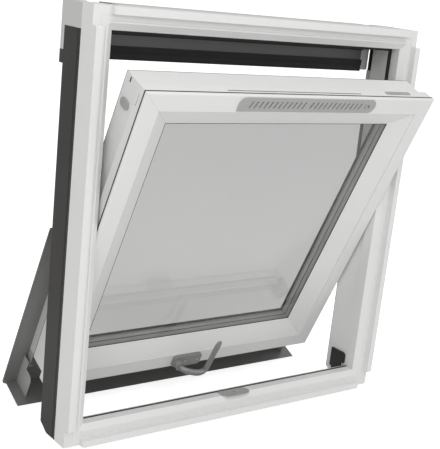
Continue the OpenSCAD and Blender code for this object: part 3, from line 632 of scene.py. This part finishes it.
def lever_arm():
    """Cranked arm, made as rings that are bridged from the hub to the tip."""
    # Centre, radius, turn about X, Y and Z in degrees, and the squeeze across X and Y of each ring
    rings = [
        ((hub_x, -0.0290, hub_z), 0.0095, (90, 0, 0), (1.0, 1.0)),
        ((hub_x + 0.001, -0.0370, hub_z), 0.0090, (90, 0, 8), (1.0, 1.0)),
        ((hub_x + 0.007, -0.0450, hub_z - 0.001), 0.0096, (90, 0, 35), (1.0, 1.0)),
        ((hub_x + 0.019, -0.0535, hub_z - 0.002), 0.0102, (90, 0, 58), (1.0, 1.0)),
        ((hub_x + 0.036, -0.0615, hub_z - 0.003), 0.0104, (90, 0, 66), (1.0, 1.0)),
        ((elbow_x - 0.017, -0.0675, elbow_z - 0.006), 0.0106, (90, -8, 74), (1.0, 1.0)),
        ((elbow_x - 0.004, -0.0700, elbow_z - 0.001), 0.0104, (90, -38, 86), (1.0, 1.0)),
        ((elbow_x + 0.003, arm_out, elbow_z + 0.011), 0.0098, (10, 14, 0), (1.0, 1.0)),
        ((elbow_x + 0.005, arm_out, elbow_z + 0.032), 0.0094, (0, 5, 0), (1.05, 0.80)),
        ((elbow_x + 0.007, arm_out, elbow_z + 0.062), 0.0098, (0, 5, 0), (1.08, 0.62)),
        ((tip_x - 0.001, arm_out, tip_z - 0.028), 0.0108, (0, 4, 0), (1.10, 0.50)),
        ((tip_x, arm_out, tip_z - 0.006), 0.0110, (0, 4, 0), (1.10, 0.46)),
        ((tip_x + 0.0005, arm_out, tip_z + 0.004), 0.0094, (0, 4, 0), (1.06, 0.42)),
        ((tip_x + 0.0010, arm_out, tip_z + 0.010), 0.0058, (0, 4, 0), (1.0, 0.40)),
    ]
    ring_sides = 20
    clear_selection()
    bpy.ops.mesh.primitive_circle_add(vertices=ring_sides, radius=hub_radius, location=(0, 0, 0))
    piece = bpy.context.object
    piece.name = piece.data.name = "lever_arm"
    # The first circle only opens the mesh: the rings are added to it in edit mode
    edit(piece, "SELECT")
    bpy.ops.mesh.delete(type="VERT")
    for centre, radius, degrees, squeeze in rings:
        turn = [math.radians(angle) for angle in degrees]
        bpy.ops.mesh.select_all(action="DESELECT")
        bpy.ops.mesh.primitive_circle_add(
            vertices=ring_sides, radius=radius, location=centre, rotation=turn
        )
        if squeeze != (1.0, 1.0):
            bpy.ops.transform.resize(value=(*squeeze, 1.0), center_override=centre)
    bpy.ops.mesh.select_all(action="SELECT")
    bpy.ops.mesh.bridge_edge_loops()
    bpy.ops.mesh.select_all(action="SELECT")
    bpy.ops.mesh.fill_holes(sides=0)
    bpy.ops.mesh.normals_make_consistent(inside=False)
    bpy.ops.object.mode_set(mode="OBJECT")
    relax = piece.modifiers.new("cast form", "SUBSURF")
    relax.levels = relax.render_levels = 2
    bpy.ops.object.modifier_apply(modifier=relax.name)
    return piece


def lever_hub():
    """Turned hub that the arm grows out of, stepped by insets."""
    hub = new_disc("lever_hub", (hub_x, -0.0273, hub_z), hub_radius, 0.0136, "Y", round_sides)
    inset_faces(hub, looking(ROOM), (0.0022, 0.0), (0.0006, -0.0010))
    round_edges(hub, 0.0010, 3)
    return hub


def lever_spindle():
    """Round spindle from the hub through the plate, chamfered at its inner end."""
    spindle = new_disc("lever_spindle", (hub_x, -0.0035, hub_z), 0.0058, 0.0340, "Y")
    inset_faces(spindle, looking(WEATHER), (0.001, 0.001))
    return spindle


def handle_lever():
    """The cast lever: arm, hub and spindle in one."""
    lever = join("handle_casting", [lever_arm(), lever_hub(), lever_spindle()])
    smooth(lever)
    settle(lever, sash_place)
    finish_piece(lever, "handle", handle_lacquer, ("handle_lever",))


def handle_plate():
    """Base plate with rounded corners, a raised field and the boss round the spindle."""
    overhang, thickness = 0.013, 0.0118
    base_low, base_high = sash_box("handle_base")
    low = (hub_x - overhang, -thickness, base_low[2])
    plate = new_box("handle_plate", low, (base_high[0], 0, base_high[2]))
    round_corners(plate, "Y", 0.010, 6)
    inset_faces(plate, looking(ROOM), (0.0030, 0.0), (0.0010, -0.0008))
    boss = new_disc("handle_boss", (hub_x, -0.0150, hub_z), hub_radius, 0.0098, "Y", round_sides)
    inset_faces(boss, looking(ROOM), (0.0030, 0.0))
    piece = join("handle_base_plate", [plate, boss])
    round_edges(piece, 0.0012, 3)
    settle(piece, sash_place)
    finish_piece(piece, "sash", handle_lacquer, ("handle_base",))


# ---- screws ----


def screw_head(centre, radius, direction):
    """Low screw head with a stepped round recess, looking to the room, the left or the right."""
    thickness, sides = 0.0012, 24
    rim, recess = 0.45 * radius, 0.15 * radius
    head = new_disc("screw", (0, 0, 0), radius, thickness, "Z", sides)
    inset_faces(head, looking(UP), (rim, 0.00015), (recess, -0.0007))
    turn = {
        RIGHT: Matrix.Rotation(math.pi / 2, 4, "Y"),
        LEFT: Matrix.Rotation(-math.pi / 2, 4, "Y"),
        ROOM: Matrix.Rotation(math.pi / 2, 4, "X"),
    }[direction]
    settle(head, Matrix.Translation(centre) @ turn)
    return head


def sash_arm_screws():
    """Four screws in the plate of each sash arm, round the pivot's height."""
    head_level = sash_box("hinge_arm_right")[1][0] + 0.0003
    screw_rise, screw_depths, radius = 0.033, (0.062, 0.088), 0.0045
    for side, word, direction in ((-1, "left", LEFT), (1, "right", RIGHT)):
        parts = []
        for z in (pivot_above_middle - screw_rise, pivot_above_middle + screw_rise):
            for y in screw_depths:
                parts.append(screw_head((side * head_level, y, z), radius, direction))
        piece = join("hinge_arm_screws_" + word, parts)
        smooth(piece)
        settle(piece, sash_place)
        finish_piece(piece, "sash", zinc_steel)


def handle_plate_screws():
    """Two screws in the handle's plate, beside the boss."""
    head_level, radius = -0.0116, 0.0040
    places = (hub_x + 0.030, hub_x + 0.078)
    parts = [screw_head((x, head_level, hub_z), radius, ROOM) for x in places]
    piece = join("handle_plate_screws", parts)
    smooth(piece)
    settle(piece, sash_place)
    finish_piece(piece, "sash", zinc_steel)


# ---- small fittings ----


def lock_plate():
    """Grey plate let into the top rail's upper face, with a raised keeper."""
    left, right, near, far = 0.3235, 0.4255, 0.0245, 0.0395
    sunk, proud, keeper_stand = 0.0012, 0.0006, 0.0016
    low, high = (left, near, rail_top - sunk), (right, far, rail_top + proud)
    plate = new_box("lock_plate", low, high)
    round_corners(plate, "Z", 0.0070, 5)
    inset_faces(plate, looking(UP), (0.0016, 0.0), (0.0006, -0.0004))
    keeper_high = (0.385, 0.0355, rail_top + keeper_stand)
    keeper = new_box("keeper", (0.345, 0.0285, rail_top), keeper_high)
    inset_faces(keeper, looking(UP), (0.0020, -0.0010))
    piece = join("top_lock_plate", [plate, keeper])
    round_edges(piece, fitting_edge)
    settle(piece, sash_place)
    finish_piece(piece, "sash", grey_plastic)


def top_rail_slot():
    """Grey liner in the long slot of the top rail's upper face."""
    left, right, near, far = -0.2505, 0.2195, 0.0224, 0.0256
    bottom, top = rail_top - 0.0014, rail_top - 0.0004
    liner = new_box("top_slot_liner", (left, near, bottom), (right, far, top))
    inset_faces(liner, looking(UP), (0.0006, -0.0005))
    settle(liner, sash_place)
    finish_piece(liner, "sash", slot_grey)


def strip_block(side, word):
    """Small grey block that ends the stop strip's rear seal."""
    middle, half = side * (half_width - 0.068), 0.0035
    near, far = 0.1125, 0.1290
    bottom, top = frame_height - 0.168, frame_height - 0.140
    low, high = (middle - half, near, bottom), (middle + half, far, top)
    block = new_box("strip_block_" + word, low, high)
    inset_faces(block, looking(DOWN), (0.0012, -0.0015))
    round_edges(block, 0.0006)
    finish_piece(block, "frame", cap_grey)


def stile_strip():
    """Thin cover strip with a short foot on the left stile's side, above the latch."""
    inner, outer = stile_side + 0.0008, stile_side - 0.0004
    near, foot_top = 0.0290, 0.4570
    strip = new_box("strip", (outer, near, foot_top), (inner, near + 0.0012, 0.490))
    foot = new_box("foot", (outer, near, foot_top - 0.0012), (inner, near + 0.0060, foot_top))
    for part in (strip, foot):
        inset_faces(part, looking(LEFT), (0.0003, -0.0002))
    piece = join("stile_strip", [strip, foot])
    settle(piece, sash_place)
    finish_piece(piece, "sash", cap_grey)


def stile_plug():
    """Dark plug in a drain slot near the top of the left stile's outer leg."""
    near, far, bottom, top = 0.0930, 0.0975, 0.4800, 0.4950
    low, high = (leg_side - 0.0006, near, bottom), (leg_side + 0.0010, far, top)
    plug = new_box("stile_plug", low, high)
    round_corners(plug, "X", 0.0018, 4)
    inset_faces(plug, looking(LEFT), (0.0006, -0.0003))
    smooth(plug)
    settle(plug, sash_place)
    finish_piece(plug, "sash", seal_rubber)


def jamb_box(name, side, depths, nears, heights):
    """A box let into the outer face of a jamb, between two depths below it."""
    across = sorted(side * (half_width - depth) for depth in depths)
    low, high = zip(across, nears, heights)
    return new_box(name, low, high)


def cladding_seal(side, word):
    """Black cord seal in the groove of the side cladding, and a clip in each bracket notch."""
    outward = looking(RIGHT if side > 0 else LEFT)
    cord_heights = (0.002, frame_height - 0.068)
    clip_bottoms, clip_height = (0.0628, frame_height - 0.1592), 0.0444
    cord = jamb_box("cord", side, (0.0011, 0.0003), (0.0650, 0.0700), cord_heights)
    inset_faces(cord, outward, (0.0012, -0.0002))
    parts = [cord]
    for bottom in clip_bottoms:
        heights = (bottom, bottom + clip_height)
        clip = jamb_box("clip", side, (0.0029, 0.0002), (0.0553, 0.0597), heights)
        inset_faces(clip, outward, (0.0010, -0.0006))
        parts.append(clip)
    piece = join("cladding_seal_" + word, parts)
    smooth(piece)
    finish_piece(piece, "frame", seal_rubber)


def grille_button():
    """Round button with a stepped face at the right end of the air inlet."""
    low, high = sash_box("inlet_slider")
    centre = (high[0] - 0.0156, -0.0024, (low[2] + high[2]) / 2)
    button = new_disc("inlet_button", centre, 0.0044, 0.0050, "Y")
    inset_faces(button, looking(ROOM), (0.0012, 0.0), (0.0005, -0.0008))
    round_edges(button, fitting_edge)
    settle(button, sash_place)
    finish_piece(button, "slider", pale_plastic)


# ---- floor, camera and light ----


def seen_glow(tree, everywhere, seen):
    """A brightness that is raised where the camera looks straight at the surface."""
    path = node(tree, "ShaderNodeLightPath")
    extra = math_node(tree, "MULTIPLY", path.outputs["Is Camera Ray"], seen)
    return math_node(tree, "ADD", extra, everywhere)


def floor():
    """Plain pale floor just below the object."""
    gap, width, tone = 0.0005, 60, 0.80
    clear_selection()
    bpy.ops.mesh.primitive_plane_add(size=width, location=(0, 0, cad_box[0].z - gap))
    plane = bpy.context.object
    plane.name = "studio_floor"
    material = bpy.data.materials.new("Studio floor")
    material.use_nodes = True
    tree = material.node_tree
    shader = tree.nodes["Principled BSDF"]
    shader.inputs["Base Color"].default_value = (tone, tone, tone, 1)
    shader.inputs["Roughness"].default_value = 0.9
    shader.inputs["Specular IOR Level"].default_value = 0.0
    shader.inputs["Emission Color"].default_value = (1, 1, 1, 1)
    wire(tree, seen_glow(tree, 0.12, 0.62), shader.inputs["Emission Strength"])
    plane.data.materials.append(material)


def camera():
    """Camera in front and to the left, a little above the window's middle."""
    eye = (-1.8027, -2.1982, 1.2816)
    ahead, upward = (0.60875, 0.74868, -0.2625), (0.07626, 0.27412, 0.95867)
    data = bpy.data.cameras.new("camera")
    data.lens = 80.71
    data.sensor_width = 36.0
    data.sensor_fit = "AUTO"
    data.shift_x = -0.0566
    data.shift_y = 0.0627
    data.clip_end = 200
    holder = bpy.data.objects.new("camera", data)
    bpy.context.scene.collection.objects.link(holder)
    forward = Vector(ahead).normalized()
    right = forward.cross(Vector(upward)).normalized()
    up = right.cross(forward)
    turn = Matrix((right, up, -forward)).transposed()
    holder.matrix_world = Matrix.Translation(eye) @ turn.to_4x4()
    bpy.context.scene.camera = holder


def soft_light(name, position, width, power):
    """A square soft light that looks at the middle of the window."""
    middle = Vector((0, 0.05, 0.6))
    data = bpy.data.lights.new(name, "AREA")
    data.shape = "RECTANGLE"
    data.size = data.size_y = width
    data.energy = power
    holder = bpy.data.objects.new(name, data)
    bpy.context.scene.collection.objects.link(holder)
    turn = (middle - Vector(position)).to_track_quat("-Z", "Y").to_matrix().to_4x4()
    holder.matrix_world = Matrix.Translation(position) @ turn


def lights():
    """Soft light from the left, from above and, weaker, from the right, in a white room."""
    soft_light("key", (-2.6, -3.2, 1.8), 2.6, 34)
    soft_light("top", (-0.3, -1.8, 3.7), 3.0, 38)
    soft_light("fill", (1.6, -3.6, 1.6), 2.6, 6)
    world = bpy.data.worlds.new("studio")
    world.use_nodes = True
    tree = world.node_tree
    background = tree.nodes["Background"]
    background.inputs["Color"].default_value = (1, 1, 1, 1)
    wire(tree, seen_glow(tree, 0.58, 0.55), background.inputs["Strength"])
    bpy.context.scene.world = world
    bpy.context.scene.view_settings.view_transform = "Standard"


dress_cad_nodes()
profiles()
side_claddings()
hood()
sash_covers()
plastic_parts()
handle_lever()
handle_plate()
handle_plate_screws()
sash_arm_screws()
lock_plate()
strip_block(1, "right")
strip_block(-1, "left")
top_rail_slot()
stile_strip()
stile_plug()
cladding_seal(-1, "left")
cladding_seal(1, "right")
grille_button()
floor()
camera()
lights()

clear_selection()
